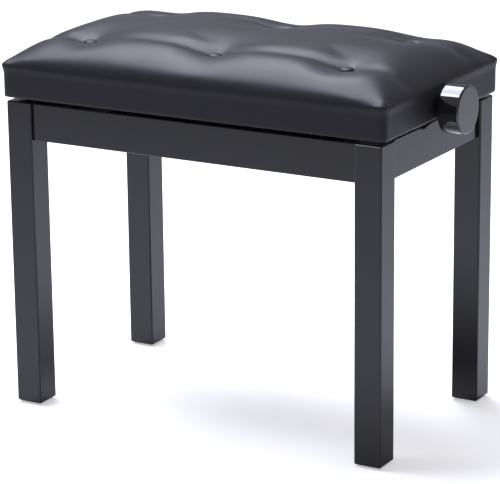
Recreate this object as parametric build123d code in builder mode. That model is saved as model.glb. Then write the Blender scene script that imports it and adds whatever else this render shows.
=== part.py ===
from build123d import *
import math
import os

os.makedirs("parts", exist_ok=True)

# Adjustable piano bench. Millimetres. Origin on the floor at the middle of the bench,
# +X to the right along the seat, +Y to the back, +Z up. The seat stands at its lowest.

# ---------------------------------------------------------------- base frame
base_length = 540.0        # over the legs, along X
base_depth = 316.0         # over the legs, along Y
leg_top = 410.0            # floor to the top of a leg
leg_side = 37.0            # square leg
leg_edge_round = 2.2
leg_top_chamfer = 1.5
foot_chamfer = 1.8
glide_radius = 11.0        # nail-on glide under each leg
glide_height = 2.5
glide_edge = 1.0
glide_pin_radius = 1.5
glide_pin_length = 14.0
apron_height = 49.0
apron_thickness = 18.0
apron_recess = 4.5         # apron face behind the leg face
apron_drop = 1.0           # apron top below the leg top
apron_edge_round = 1.5
dowel_radius = 4.0
dowel_depth = 15.0         # into each of the two pieces it joins
dowel_spacing = 26.0
hole_end_gap = 1.0
hole_clearance = 0.1       # radial, round dowels, bolts and screws

# ---------------------------------------------------------------- leg fixings
bracket_thickness = 2.5
bracket_height = 36.0
bracket_flange = 18.0
bracket_leg_gap = 6.0      # plate to the inner corner of the leg
bracket_screw_spacing = 18.0
hanger_radius = 4.0
hanger_in_leg = 25.0
hanger_past_nut = 3.5
washer_radius = 8.5
washer_thickness = 1.6
wing_nut_radius = 7.0
wing_nut_height = 8.0
wing_root = 2.0            # washer to the root of a wing
wing_reach = 15.0
wing_rise = 13.0
wing_thickness = 2.6
screw_shank_radius = 2.0
screw_head_radius = 4.0
screw_head_height = 2.2
screw_head_round = 1.0
screw_tip = 1.2
wood_screw_length = 14.0
plate_screw_edge = 30.0    # outer screws from the ends of the end plate
plate_bracket_gap = 2.0
plate_rail_edge = 1.0      # end plate past the rails

# ---------------------------------------------------------------- seat
seat_overhang_x = 5.0      # seat past the legs at each end
seat_overhang_y = 2.0      # and at the front and the rear
seat_gap = 4.5             # leg top to the lower edge of the seat
seat_side_height = 46.0
seat_crown = 37.5          # middle of the cushion above its edge
crown_middle = 5.0         # part of the crown that lies between the shoulders
shoulder_width = 60.0
seat_corner_radius = 8.0
cover_thickness = 1.2
cover_return = 13.0        # cover turned in under the frame
foam_clearance = 0.2
frame_thickness = 15.0
frame_screw_length = 38.0
frame_screw_spacing = 18.0
frame_screw_sink = 4.0     # bottom of a head below the face of its board
seat_board_thickness = 10.0
board_rebate = 6.0
board_clearance = 0.3
button_columns = 3
button_rows = 2
button_pitch_x = 186.0
button_rail_gap = 2.0      # button washers to the upper rails
button_radius = 8.5
button_height = 4.5
button_round = 2.7         # edge of a button
button_depth = 14.0        # top of a button below the top of the cushion
dimple_floor = 2.0         # radial room round a button
dimple_spread = 1.1        # widening of a dimple for each millimetre up
shank_radius = 1.5
shank_clearance = 0.4
button_washer_radius = 7.0
button_washer_thickness = 1.5

# ---------------------------------------------------------------- lifting linkage
raise_travel = 100.0
arm_span = 280.0           # pivot to pivot
arm_width = 24.0
arm_thickness = 4.0
side_gap = 0.5             # between neighbouring arms and rails
arm_flange_gap = 0.5       # top of an arm to the upper rail's flange
rail_thickness = 3.0
lower_rail_height = 30.0
lower_rail_lift = 2.0      # lower rails above the lower edge of the aprons
lower_rail_flange = 18.0   # turned outwards
upper_rail_flange = 24.0   # turned inwards, over the arms
upper_rail_overhang = 26.0 # upper rail past its pivots
rail_screw_length = 11.0
rail_screw_edge = 6.0      # screw to the edge of the flange and to the end of the rail
rail_screw_room = 0.5      # pilot past the tip of a rail screw
lower_pivot_height = 19.0  # above the lower edge of the aprons
screw_height = 12.0        # drive screw above the lower edge of the seat
pin_radius = 5.0
centre_pin_radius = 4.0
centre_pin_head = 1.5
centre_pin_head_radius = 7.0
pin_overhang = 4.0         # pin past the rail's web
running_clearance = 0.05
bush_radius = 7.0
slot_clearance = 0.3
clip_cover = 1.0           # clip past the edge of its bush
clip_thickness = 1.2
clip_gap = 0.5             # rail or bush to the retaining clip
bar_side = 20.0            # square bearing bar and nut bar
bar_edge = 1.5

# ---------------------------------------------------------------- drive
shaft_radius = 6.0
thread_height = 1.0        # crest of the thread above the shaft
thread_root = 0.4          # and its root below
thread_pitch = 3.0
thread_clearance = 0.3
thread_run_out = 13.0
collar_wall = 6.0
collar_length = 9.0
collar_gap = 0.3
screw_bush_wall = 2.0
screw_bush_flange_width = 2.0
screw_bush_flange = 1.5    # thickness
knob_radius = 31.0
knob_length = 28.0
knob_offset = 6.0          # knob body to the seat cover
knob_hub_wall = 5.0
knob_hub_gap = 1.0
knob_edge_round = 2.4
knob_back_round = 1.2
knob_grip_depth = 20.0     # shaft inside the knob
set_screw_radius = 2.0
set_screw_length = 5.0

# ---------------------------------------------------------------- places that follow
leg_inner_x = base_length / 2 - leg_side
leg_inner_y = base_depth / 2 - leg_side
leg_middle_x = base_length / 2 - leg_side / 2
leg_middle_y = base_depth / 2 - leg_side / 2
apron_outer_x = base_length / 2 - apron_recess
apron_outer_y = base_depth / 2 - apron_recess
apron_inner_x = apron_outer_x - apron_thickness
apron_inner_y = apron_outer_y - apron_thickness
apron_middle_x = apron_outer_x - apron_thickness / 2
apron_middle_y = apron_outer_y - apron_thickness / 2
apron_bottom = leg_top - apron_drop - apron_height
apron_middle_z = apron_bottom + apron_height / 2

seat_length = base_length + 2 * seat_overhang_x
seat_depth = base_depth + 2 * seat_overhang_y
seat_bottom = leg_top + seat_gap
seat_edge = seat_bottom + seat_side_height
seat_top = seat_edge + seat_crown
frame_x = seat_length / 2 - cover_thickness
frame_y = seat_depth / 2 - cover_thickness
frame_inner_x = frame_x - frame_thickness
frame_inner_y = frame_y - frame_thickness
frame_bottom = seat_bottom + cover_thickness
screw_z = seat_bottom + screw_height
board_bottom = screw_z + arm_width / 2 + arm_flange_gap + rail_thickness
frame_top = board_bottom + seat_board_thickness
frame_height = frame_top - frame_bottom
button_z = seat_top - button_depth - button_height

lower_pivot_z = apron_bottom + lower_pivot_height
rest_rise = screw_z - lower_pivot_z
raised_rise = rest_rise + raise_travel
rest_reach = math.sqrt(arm_span**2 - rest_rise**2)
raised_reach = math.sqrt(arm_span**2 - raised_rise**2)
rest_angle = math.degrees(math.asin(rest_rise / arm_span))
raised_angle = math.degrees(math.asin(raised_rise / arm_span))
slide_travel = rest_reach - raised_reach
fixed_x = -rest_reach / 2  # pivots that stay in place, at the left
slide_x = rest_reach / 2   # pivots that slide in their slots, at the right
middle_z = (screw_z + lower_pivot_z) / 2
knob_turns = slide_travel / thread_pitch

protrusion = (apron_inner_x - leg_inner_x) + (apron_inner_y - leg_inner_y)
bracket_cut = protrusion + bracket_leg_gap * math.sqrt(2)
bracket_x = apron_inner_x - bracket_cut
bracket_y = apron_inner_y - bracket_cut
plate_half_width = bracket_y - bracket_flange - plate_bracket_gap
plate_screw_spacing = plate_half_width - plate_screw_edge
rail_outer_y = plate_half_width - plate_rail_edge
rail_inner_y = rail_outer_y - rail_thickness
outer_arm_y = rail_inner_y - side_gap - arm_thickness
inner_arm_y = outer_arm_y - side_gap - arm_thickness
bar_end_y = inner_arm_y - side_gap
pin_end_y = rail_outer_y + pin_overhang
lower_rail_bottom = apron_bottom + lower_rail_lift
lower_rail_top = lower_rail_bottom + lower_rail_height
lower_rail_end = apron_inner_x - rail_thickness
upper_rail_end = rest_reach / 2 + upper_rail_overhang
button_pitch_y = 2 * (rail_outer_y + button_rail_gap + button_washer_radius)

clip_radius = bush_radius + clip_cover
thread_radius = shaft_radius + thread_height
thread_root_radius = shaft_radius - thread_root
collar_radius = shaft_radius + collar_wall
screw_bush_radius = shaft_radius + screw_bush_wall
screw_bush_flange_radius = screw_bush_radius + screw_bush_flange_width
knob_hub_radius = shaft_radius + knob_hub_wall
knob_x = seat_length / 2 + knob_offset
shaft_end_x = knob_x + knob_grip_depth
thread_start_x = slide_x - slide_travel - thread_run_out
thread_end_x = slide_x + thread_run_out

LEFT, RIGHT, FRONT, REAR = -1, 1, -1, 1
CORNERS = {
    "front_left": (LEFT, FRONT),
    "front_right": (RIGHT, FRONT),
    "rear_left": (LEFT, REAR),
    "rear_right": (RIGHT, REAR),
}
ON_BASE = (Align.CENTER, Align.CENTER, Align.MIN)


# ---------------------------------------------------------------- shared steps
def save(piece, name):
    """Label a finished piece and write it to its own file."""
    piece.label = name
    export_step(piece, f"parts/{name}.step")


def to_corner(piece, side_x, side_y):
    """Carry a piece made at the rear right to another corner or side."""
    if side_x == LEFT:
        piece = mirror(piece, about=Plane.YZ, mode=Mode.PRIVATE)
    if side_y == FRONT:
        piece = mirror(piece, about=Plane.XZ, mode=Mode.PRIVATE)
    return piece


def save_at(piece, sides, name):
    """Several carried copies of one piece, kept together in one file."""
    with BuildPart() as group:
        for side_x, side_y in sides:
            add(to_corner(piece, side_x, side_y))
    save(group.part, name)


def facing_y(y):
    """Plane across the bench at y, with X to the right and Z up."""
    return Plane.XZ.offset(-y)


def facing_x(x):
    """Plane at x with Y to the right and Z up."""
    return Plane.YZ.offset(x)


def start(x, y, z, direction):
    """Plane at a point whose normal runs in the given direction."""
    return Plane(origin=(x, y, z), z_dir=direction)


def drill(planes, radius, depth):
    """Round holes that start on each plane and run along its normal."""
    for plane in planes:
        with BuildSketch(plane) as hole:
            Circle(radius)
        extrude(hole.sketch, amount=depth, mode=Mode.SUBTRACT)


def pan_head_screw(length):
    """Screw on the origin: shank along +Z, head below."""
    with BuildPart() as screw:
        Cylinder(screw_head_radius, screw_head_height, align=(Align.CENTER, Align.CENTER, Align.MAX))
        fillet(screw.edges().group_by(Axis.Z)[0], screw_head_round)
        Cylinder(screw_shank_radius, length, align=ON_BASE)
        chamfer(screw.edges().group_by(Axis.Z)[-1], screw_tip)
    return screw.part


def retaining_clips(x, z, y):
    """Snap rings on both ends of a cross pin, y from the middle of the bench."""
    with BuildPart() as clips:
        for side in (FRONT, REAR):
            with BuildSketch(facing_y(side * (y + clip_thickness / 2))):
                with Locations((x, z)):
                    Circle(clip_radius)
                    Circle(pin_radius - running_clearance, mode=Mode.SUBTRACT)
            extrude(amount=clip_thickness / 2, both=True)
    return clips.part


def pin_with_grooves(x, z, clip_y):
    """Cross pin through the bench with a groove for a clip near each end."""
    with BuildPart() as pin:
        with BuildSketch(facing_y(0)):
            with Locations((x, z)):
                Circle(pin_radius)
        extrude(amount=pin_end_y, both=True)
        for side in (FRONT, REAR):
            with BuildSketch(facing_y(side * (clip_y + clip_thickness / 2))):
                with Locations((x, z)):
                    Circle(pin_radius + clip_cover)
                    Circle(pin_radius - 2 * running_clearance, mode=Mode.SUBTRACT)
            extrude(amount=clip_thickness / 2 + running_clearance, both=True, mode=Mode.SUBTRACT)
    return pin.part


# ---------------------------------------------------------------- fixing places, rear right corner
dowel_heights = (apron_middle_z - dowel_spacing / 2, apron_middle_z + dowel_spacing / 2)
bracket_rises = (-bracket_screw_spacing / 2, bracket_screw_spacing / 2)
diagonal = math.sqrt(0.5)
nut_plane = Plane(
    origin=(leg_inner_x, leg_inner_y, apron_middle_z),
    x_dir=(0, 0, 1),
    z_dir=(-diagonal, -diagonal, 0),
)
bracket_screw_x = bracket_x - bracket_flange / 2
bracket_screw_y = bracket_y - bracket_flange / 2
bracket_outside = bracket_leg_gap + bracket_thickness
nut_seat = bracket_outside + washer_thickness
plate_screw_z = lower_rail_bottom + lower_rail_height / 2
plate_screws_y = (-plate_screw_spacing, 0, plate_screw_spacing)


def bracket_planes(depth):
    """Bracket screw places, depth inside the aprons' inner faces."""
    planes = []
    for rise in bracket_rises:
        planes.append(start(bracket_screw_x, apron_inner_y - depth, apron_middle_z + rise, (0, 1, 0)))
        planes.append(start(apron_inner_x - depth, bracket_screw_y, apron_middle_z + rise, (1, 0, 0)))
    return planes


# ---------------------------------------------------------------- legs and glides
with BuildPart() as leg:
    with BuildSketch(Plane.XY.offset(glide_height)):
        with Locations((leg_middle_x, leg_middle_y)):
            RectangleRounded(leg_side, leg_side, leg_edge_round)
    extrude(amount=leg_top - glide_height)
    chamfer(leg.edges().group_by(Axis.Z)[0], foot_chamfer)
    chamfer(leg.edges().group_by(Axis.Z)[-1], leg_top_chamfer)
    for height in dowel_heights:
        dowel_holes = [
            start(leg_inner_x, apron_middle_y, height, (1, 0, 0)),
            start(apron_middle_x, leg_inner_y, height, (0, 1, 0)),
        ]
        drill(dowel_holes, dowel_radius + hole_clearance, dowel_depth + hole_end_gap)
    drill([nut_plane], hanger_radius + hole_clearance, -hanger_in_leg - hole_end_gap)
    glide_hole = start(leg_middle_x, leg_middle_y, glide_height, (0, 0, 1))
    drill([glide_hole], glide_pin_radius + hole_clearance, glide_pin_length + hole_end_gap)

for corner, (side_x, side_y) in CORNERS.items():
    save(to_corner(leg.part, side_x, side_y), f"leg_{corner}")

with BuildPart() as foot_glide:
    with Locations((leg_middle_x, leg_middle_y)):
        Cylinder(glide_radius, glide_height, align=ON_BASE)
        chamfer(foot_glide.edges().group_by(Axis.Z)[0], glide_edge)
        Cylinder(glide_pin_radius, glide_height + glide_pin_length, align=ON_BASE)
save_at(foot_glide.part, CORNERS.values(), "foot_glides")

# ---------------------------------------------------------------- aprons
with BuildPart() as long_apron:
    with BuildSketch(facing_x(-leg_inner_x)):
        with Locations((apron_middle_y, apron_middle_z)):
            Rectangle(apron_thickness, apron_height)
    extrude(amount=2 * leg_inner_x)
    fillet(long_apron.edges().filter_by(Axis.X), apron_edge_round)
    for side in (LEFT, RIGHT):
        dowel_holes = [start(side * leg_inner_x, apron_middle_y, z, (-side, 0, 0)) for z in dowel_heights]
        drill(dowel_holes, dowel_radius + hole_clearance, dowel_depth + hole_end_gap)
        for rise in bracket_rises:
            pilot = start(side * bracket_screw_x, apron_inner_y, apron_middle_z + rise, (0, 1, 0))
            drill([pilot], screw_shank_radius + hole_clearance, wood_screw_length)

with BuildPart() as end_apron:
    with BuildSketch(facing_y(leg_inner_y)):
        with Locations((apron_middle_x, apron_middle_z)):
            Rectangle(apron_thickness, apron_height)
    extrude(amount=2 * leg_inner_y)
    fillet(end_apron.edges().filter_by(Axis.Y), apron_edge_round)
    for side in (FRONT, REAR):
        dowel_holes = [start(apron_middle_x, side * leg_inner_y, z, (0, -side, 0)) for z in dowel_heights]
        drill(dowel_holes, dowel_radius + hole_clearance, dowel_depth + hole_end_gap)
        for rise in bracket_rises:
            pilot = start(apron_inner_x, side * bracket_screw_y, apron_middle_z + rise, (1, 0, 0))
            drill([pilot], screw_shank_radius + hole_clearance, wood_screw_length)
    plate_holes = [start(apron_inner_x, y, plate_screw_z, (1, 0, 0)) for y in plate_screws_y]
    drill(plate_holes, screw_shank_radius + hole_clearance, wood_screw_length)

save(to_corner(long_apron.part, RIGHT, FRONT), "front_apron")
save(to_corner(long_apron.part, RIGHT, REAR), "rear_apron")
save(to_corner(end_apron.part, LEFT, REAR), "left_apron")
save(to_corner(end_apron.part, RIGHT, REAR), "right_apron")

with BuildPart() as corner_dowels:
    for height in dowel_heights:
        with Locations(
            start(leg_inner_x, apron_middle_y, height, (1, 0, 0)),
            start(apron_middle_x, leg_inner_y, height, (0, 1, 0)),
        ):
            Cylinder(dowel_radius, 2 * dowel_depth)
save_at(corner_dowels.part, CORNERS.values(), "apron_dowels")

# ---------------------------------------------------------------- corner brackets and leg bolts
with BuildPart() as corner_bracket:
    with BuildSketch(Plane.XY.offset(apron_middle_z - bracket_height / 2)):
        with BuildLine():
            Polyline(
                (bracket_x - bracket_flange, apron_inner_y),
                (bracket_x, apron_inner_y),
                (apron_inner_x, bracket_y),
                (apron_inner_x, bracket_y - bracket_flange),
            )
            offset(amount=bracket_thickness, side=Side.RIGHT)
        make_face()
    extrude(amount=bracket_height)
    drill(bracket_planes(bracket_thickness), screw_shank_radius + hole_clearance, bracket_thickness)
    drill([nut_plane], hanger_radius + slot_clearance, bracket_outside + bracket_thickness)
for corner, (side_x, side_y) in CORNERS.items():
    save(to_corner(corner_bracket.part, side_x, side_y), f"corner_bracket_{corner}")

with BuildPart() as bracket_screws:
    with Locations(*bracket_planes(bracket_thickness)):
        add(pan_head_screw(wood_screw_length))
save_at(bracket_screws.part, CORNERS.values(), "bracket_screws")

with BuildPart() as hanger_bolt:
    with BuildSketch(nut_plane.offset(-hanger_in_leg)):
        Circle(hanger_radius)
    extrude(amount=hanger_in_leg + nut_seat + wing_nut_height + hanger_past_nut)
    chamfer(hanger_bolt.edges().filter_by(GeomType.CIRCLE), screw_tip)
save_at(hanger_bolt.part, CORNERS.values(), "hanger_bolts")

with BuildPart() as bolt_washer:
    with BuildSketch(nut_plane.offset(bracket_outside)):
        Circle(washer_radius)
        Circle(hanger_radius + slot_clearance, mode=Mode.SUBTRACT)
    extrude(amount=washer_thickness)
save_at(bolt_washer.part, CORNERS.values(), "bolt_washers")

with BuildPart() as wing_nut:
    with BuildSketch(nut_plane.offset(nut_seat)):
        Circle(wing_nut_radius)
    extrude(amount=wing_nut_height)
    wing_plane = Plane(
        origin=nut_plane.offset(nut_seat).origin,
        x_dir=nut_plane.x_dir,
        z_dir=nut_plane.y_dir,
    )
    with BuildSketch(wing_plane):
        for side in (LEFT, RIGHT):
            with BuildLine():
                Polyline(
                    (0, -wing_root),
                    (side * wing_nut_radius, -wing_root),
                    (side * wing_reach, -wing_rise),
                    (side * wing_nut_radius, -wing_nut_height),
                    (0, -wing_nut_height),
                    close=True,
                )
            make_face()
    extrude(amount=wing_thickness / 2, both=True)
    drill([nut_plane.offset(nut_seat)], hanger_radius + hole_clearance, wing_rise)
save_at(wing_nut.part, CORNERS.values(), "wing_nuts")

# ---------------------------------------------------------------- lower rails and end plates
with BuildPart() as lower_rail:
    with BuildSketch(facing_x(-lower_rail_end)):
        with Locations((rail_inner_y, lower_rail_bottom)):
            Rectangle(rail_thickness, lower_rail_height, align=(Align.MIN, Align.MIN))
            Rectangle(lower_rail_flange, rail_thickness, align=(Align.MIN, Align.MIN))
    extrude(amount=2 * lower_rail_end)
    with BuildSketch(facing_y(rail_outer_y)):
        with Locations((fixed_x, lower_pivot_z)):
            Circle(pin_radius + running_clearance)
        with Locations((slide_x - slide_travel / 2, lower_pivot_z)):
            SlotCenterToCenter(slide_travel, 2 * (bush_radius + slot_clearance))
    extrude(amount=rail_thickness, mode=Mode.SUBTRACT)
save(to_corner(lower_rail.part, RIGHT, FRONT), "lower_rail_front")
save(to_corner(lower_rail.part, RIGHT, REAR), "lower_rail_rear")

with BuildPart() as end_plate:
    with BuildSketch(facing_x(lower_rail_end)):
        with Locations((0, lower_rail_bottom)):
            Rectangle(2 * plate_half_width, lower_rail_height, align=(Align.CENTER, Align.MIN))
    extrude(amount=rail_thickness)
    plate_holes = [start(lower_rail_end, y, plate_screw_z, (1, 0, 0)) for y in plate_screws_y]
    drill(plate_holes, screw_shank_radius + hole_clearance, rail_thickness)
save(to_corner(end_plate.part, LEFT, REAR), "lower_end_plate_left")
save(to_corner(end_plate.part, RIGHT, REAR), "lower_end_plate_right")

with BuildPart() as end_plate_screws:
    with Locations(*plate_holes):
        add(pan_head_screw(wood_screw_length))
save_at(end_plate_screws.part, ((LEFT, REAR), (RIGHT, REAR)), "end_plate_screws")

# ---------------------------------------------------------------- crossed arms
def arm(inner_face_y, slope, end_holes):
    """Flat arm at the rear; slope +1 rises to the right, end_holes are (x, z) of its pivots."""
    with BuildPart() as flat_arm:
        with BuildSketch(facing_y(inner_face_y)):
            with Locations((0, middle_z)):
                SlotCenterToCenter(arm_span, arm_width, rotation=slope * rest_angle)
                Circle(centre_pin_radius + running_clearance, mode=Mode.SUBTRACT)
            with Locations(*end_holes):
                Circle(pin_radius + running_clearance, mode=Mode.SUBTRACT)
        extrude(amount=-arm_thickness)
    return flat_arm.part


outer_arm = arm(outer_arm_y, 1, ((fixed_x, lower_pivot_z), (slide_x, screw_z)))
inner_arm = arm(inner_arm_y, -1, ((fixed_x, screw_z), (slide_x, lower_pivot_z)))
for side_y, name in ((FRONT, "front"), (REAR, "rear")):
    save(to_corner(outer_arm, RIGHT, side_y), f"outer_arm_{name}")
    save(to_corner(inner_arm, RIGHT, side_y), f"inner_arm_{name}")

with BuildPart() as centre_pivot_pin:
    with BuildSketch(facing_y(inner_arm_y - clip_gap)):
        with Locations((0, middle_z)):
            Circle(centre_pin_radius)
    extrude(amount=-(outer_arm_y + arm_thickness - inner_arm_y + clip_gap))
    with BuildSketch(facing_y(inner_arm_y - clip_gap)):
        with Locations((0, middle_z)):
            Circle(centre_pin_head_radius)
    extrude(amount=centre_pin_head)
save_at(centre_pivot_pin.part, ((RIGHT, FRONT), (RIGHT, REAR)), "centre_pivot_pins")

rail_clip_y = rail_outer_y + clip_gap
save(pin_with_grooves(fixed_x, lower_pivot_z, rail_clip_y), "lower_pivot_shaft")
save(retaining_clips(fixed_x, lower_pivot_z, rail_clip_y), "pivot_shaft_clips")
save(pin_with_grooves(slide_x, lower_pivot_z, rail_clip_y), "sliding_shaft")
save(retaining_clips(slide_x, lower_pivot_z, rail_clip_y), "sliding_shaft_clips")


def slot_bushes(x, z):
    """Nylon bushes that carry a cross pin in the rails' slots."""
    with BuildPart() as bushes:
        for side in (FRONT, REAR):
            with BuildSketch(facing_y(side * (rail_inner_y + rail_thickness / 2))):
                with Locations((x, z)):
                    Circle(bush_radius)
                    Circle(pin_radius + running_clearance, mode=Mode.SUBTRACT)
            extrude(amount=rail_thickness / 2, both=True)
    return bushes.part


save(slot_bushes(slide_x, lower_pivot_z), "slide_bushes")
save(slot_bushes(slide_x, screw_z), "nut_bar_bushes")


# ---------------------------------------------------------------- bars on the drive screw
def cross_bar(x, bore_radius):
    """Square bar with round ends, bored for the drive screw."""
    with BuildPart() as bar:
        with Locations((x, 0, screw_z)):
            Box(bar_side, 2 * bar_end_y, bar_side)
        chamfer(bar.edges().filter_by(Axis.Y), bar_edge)
        add(pin_with_grooves(x, screw_z, rail_clip_y))
        drill([start(x - bar_side, 0, screw_z, (1, 0, 0))], bore_radius, 2 * bar_side)
    return bar.part


save(cross_bar(fixed_x, shaft_radius + running_clearance), "bearing_bar")
save(retaining_clips(fixed_x, screw_z, rail_clip_y), "bearing_bar_clips")
save(cross_bar(slide_x, thread_radius + thread_clearance), "nut_bar")
save(retaining_clips(slide_x, screw_z, rail_clip_y), "nut_bar_clips")

# ---------------------------------------------------------------- upper rails
with BuildPart() as upper_rail:
    with BuildSketch(facing_x(-upper_rail_end)):
        with Locations((rail_outer_y, board_bottom)):
            Rectangle(rail_thickness, board_bottom - frame_bottom, align=(Align.MAX, Align.MAX))
            Rectangle(upper_rail_flange, rail_thickness, align=(Align.MAX, Align.MAX))
    extrude(amount=2 * upper_rail_end)
    with BuildSketch(facing_y(rail_outer_y)):
        with Locations((fixed_x, screw_z)):
            Circle(pin_radius + running_clearance)
        with Locations((slide_x - slide_travel / 2, screw_z)):
            SlotCenterToCenter(slide_travel, 2 * (bush_radius + slot_clearance))
    extrude(amount=rail_thickness, mode=Mode.SUBTRACT)
    rail_screw_y = rail_outer_y - upper_rail_flange + rail_screw_edge
    rail_screw_end = upper_rail_end - rail_screw_edge
    rail_screw_places = [
        start(x, rail_screw_y, board_bottom - rail_thickness, (0, 0, 1))
        for x in (-rail_screw_end, 0, rail_screw_end)
    ]
    drill(rail_screw_places, screw_shank_radius + hole_clearance, rail_thickness)
save(to_corner(upper_rail.part, RIGHT, FRONT), "upper_rail_front")
save(to_corner(upper_rail.part, RIGHT, REAR), "upper_rail_rear")

with BuildPart() as rail_screws:
    with Locations(*rail_screw_places):
        add(pan_head_screw(rail_screw_length))
save_at(rail_screws.part, ((RIGHT, FRONT), (RIGHT, REAR)), "rail_screws")

# ---------------------------------------------------------------- seat frame and board
def seat_outline(inset):
    """Rounded rectangle of the seat, drawn inset from its cover, in the current sketch."""
    RectangleRounded(seat_length - 2 * inset, seat_depth - 2 * inset, seat_corner_radius - inset)


with BuildPart() as frame_ring:
    with BuildSketch(Plane.XY.offset(frame_bottom)):
        seat_outline(cover_thickness)
        Rectangle(2 * frame_inner_x, 2 * frame_inner_y, mode=Mode.SUBTRACT)
    extrude(amount=frame_height)
    with BuildSketch(Plane.XY.offset(board_bottom)):
        Rectangle(2 * (frame_inner_x + board_rebate), 2 * (frame_inner_y + board_rebate))
    extrude(amount=seat_board_thickness, mode=Mode.SUBTRACT)
    for side in (LEFT, RIGHT):
        drill(
            [start(side * frame_inner_x, 0, screw_z, (side, 0, 0))],
            screw_bush_radius + hole_clearance,
            frame_thickness,
        )

frame_screw_x = frame_inner_x + frame_thickness / 2
frame_screw_z = frame_bottom + (frame_height - seat_board_thickness) / 2
frame_screw_places = [
    start(frame_screw_x, frame_y, frame_screw_z + rise, (0, -1, 0))
    for rise in (-frame_screw_spacing / 2, frame_screw_spacing / 2)
]
with BuildPart() as frame_screw_holes:
    for place in frame_screw_places:
        with BuildSketch(place):
            Circle(screw_head_radius + hole_clearance)
        extrude(amount=frame_screw_sink)
        with BuildSketch(place):
            Circle(screw_shank_radius + hole_clearance)
        extrude(amount=frame_screw_sink + frame_screw_length + hole_end_gap)

for name, side, cutter_y in (("front", FRONT, -frame_y), ("rear", REAR, frame_inner_y)):
    with BuildPart() as long_board:
        add(frame_ring.part)
        with BuildSketch(Plane.XY.offset(frame_bottom)):
            with Locations((0, cutter_y)):
                Rectangle(seat_length, frame_thickness, align=(Align.CENTER, Align.MIN))
        extrude(amount=frame_height, mode=Mode.INTERSECT)
        for end in (LEFT, RIGHT):
            add(to_corner(frame_screw_holes.part, end, side), mode=Mode.SUBTRACT)
    save(long_board.part, f"seat_frame_{name}")

for name, side, cutter_x in (("left", LEFT, -frame_x), ("right", RIGHT, frame_inner_x)):
    with BuildPart() as end_board:
        add(frame_ring.part)
        with BuildSketch(Plane.XY.offset(frame_bottom)):
            with Locations((cutter_x, 0)):
                Rectangle(frame_thickness, 2 * frame_inner_y, align=(Align.MIN, Align.CENTER))
        extrude(amount=frame_height, mode=Mode.INTERSECT)
        for end in (FRONT, REAR):
            add(to_corner(frame_screw_holes.part, side, end), mode=Mode.SUBTRACT)
    save(end_board.part, f"seat_frame_{name}")

with BuildPart() as frame_screws:
    with Locations(*[place.offset(frame_screw_sink) for place in frame_screw_places]):
        add(pan_head_screw(frame_screw_length))
save_at(frame_screws.part, CORNERS.values(), "seat_frame_screws")

with BuildPart() as seat_board:
    with BuildSketch(Plane.XY.offset(board_bottom)):
        Rectangle(
            2 * (frame_inner_x + board_rebate - board_clearance),
            2 * (frame_inner_y + board_rebate - board_clearance),
        )
        with GridLocations(button_pitch_x, button_pitch_y, button_columns, button_rows):
            Circle(shank_radius + shank_clearance, mode=Mode.SUBTRACT)
    extrude(amount=seat_board_thickness)
    for side in (FRONT, REAR):
        for place in rail_screw_places:
            x = place.origin.X
            pilot = start(x, side * rail_screw_y, board_bottom, (0, 0, 1))
            pilot_depth = rail_screw_length - rail_thickness + rail_screw_room
            drill([pilot], screw_shank_radius + hole_clearance, pilot_depth)
save(seat_board.part, "seat_board")


# ---------------------------------------------------------------- cushion
def crown_section(half_length, inset, floor_z):
    """Section of the cushion, drawn in the current sketch: flat shoulders' arcs over upright sides."""
    top = seat_top - inset
    side = half_length - inset
    shoulder = half_length - shoulder_width
    shoulder_z = top - crown_middle
    with BuildLine() as section:
        crown = ThreePointArc((-shoulder, shoulder_z), (0, top), (shoulder, shoulder_z))
        right_shoulder = TangentArc((shoulder, shoulder_z), (side, seat_edge - inset), tangent=crown % 1)
        mirror(right_shoulder, about=Plane.YZ)
        Polyline((side, seat_edge - inset), (side, floor_z), (-side, floor_z), (-side, seat_edge - inset))
    make_face(section.edges())


def cushion_block(inset, floor_z):
    """Crowned, buttoned block of the seat's outline with every face moved in by inset."""
    floor_radius = button_radius + dimple_floor + inset
    wall_height = seat_top - button_z
    with BuildPart() as block:
        with BuildSketch(Plane.XZ):
            crown_section(seat_length / 2, inset, floor_z)
        extrude(amount=seat_depth / 2 - inset, both=True)
        with BuildSketch(Plane.YZ):
            crown_section(seat_depth / 2, inset, floor_z)
        extrude(amount=seat_length / 2 - inset, both=True, mode=Mode.INTERSECT)
        fillet(block.edges().filter_by(Axis.Z), seat_corner_radius - inset)
        with Locations((0, 0, button_z - inset)):
            with GridLocations(button_pitch_x, button_pitch_y, button_columns, button_rows):
                Cone(
                    floor_radius,
                    floor_radius + wall_height * dimple_spread,
                    wall_height,
                    align=ON_BASE,
                    mode=Mode.SUBTRACT,
                )
    return block.part


with BuildPart() as seat_cover:
    add(cushion_block(0, seat_bottom))
    add(cushion_block(cover_thickness, frame_bottom), mode=Mode.SUBTRACT)
    with BuildSketch(Plane.XY.offset(seat_bottom)):
        Rectangle(2 * (frame_x - cover_return), 2 * (frame_y - cover_return))
    extrude(amount=cover_thickness, mode=Mode.SUBTRACT)
    drill([start(-seat_length / 2, 0, screw_z, (1, 0, 0))], screw_bush_radius + hole_clearance, seat_length)
    with Locations((0, 0, board_bottom)):
        with GridLocations(button_pitch_x, button_pitch_y, button_columns, button_rows):
            Cylinder(
                shank_radius + shank_clearance,
                seat_top - board_bottom,
                align=ON_BASE,
                mode=Mode.SUBTRACT,
            )
save(seat_cover.part, "seat_cover")

with BuildPart() as seat_foam:
    add(cushion_block(cover_thickness + foam_clearance, frame_top))
    with Locations((0, 0, frame_top)):
        with GridLocations(button_pitch_x, button_pitch_y, button_columns, button_rows):
            Cylinder(
                shank_radius + shank_clearance,
                seat_crown + seat_side_height,
                align=ON_BASE,
                mode=Mode.SUBTRACT,
            )
save(seat_foam.part, "seat_foam")

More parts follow.
